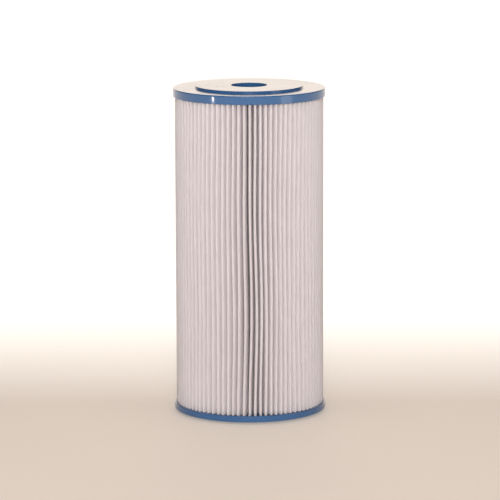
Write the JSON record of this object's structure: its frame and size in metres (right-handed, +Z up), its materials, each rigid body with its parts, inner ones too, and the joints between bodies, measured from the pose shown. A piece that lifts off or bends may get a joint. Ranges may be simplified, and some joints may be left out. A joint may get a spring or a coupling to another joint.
{
  "type": "filter cartridge",
  "caption": "Upright pleated fabric filter cartridge with a glossy moulded cap at each end, a raised seal disc and a central through hole.",
  "frame": {"origin": "centre of the lower seal face, which the cartridge stands on", "axes": "+Z up along the cartridge's axis, +Y towards the side seam (the back), -Y towards the viewer"},
  "size_m": [0.1142, 0.1142, 0.2476],
  "materials": {
    "cap": "glossy moulded mid-blue plastic",
    "potting": "cured blue potting compound, satin",
    "filter_fabric": "white spun-bonded polyester, lightly calendered",
    "seam_glue": "hot-melt glue, slightly translucent",
    "core": "natural white moulded plastic"
  },
  "bodies": {
    "root": {"top_end_cap": "cap", "bottom_end_cap": "cap", "top_potting": "potting", "bottom_potting": "potting", "pleat_pack": "filter_fabric", "side_seam": "seam_glue", "core_tube": "core"}
  },
  "joints": []
}
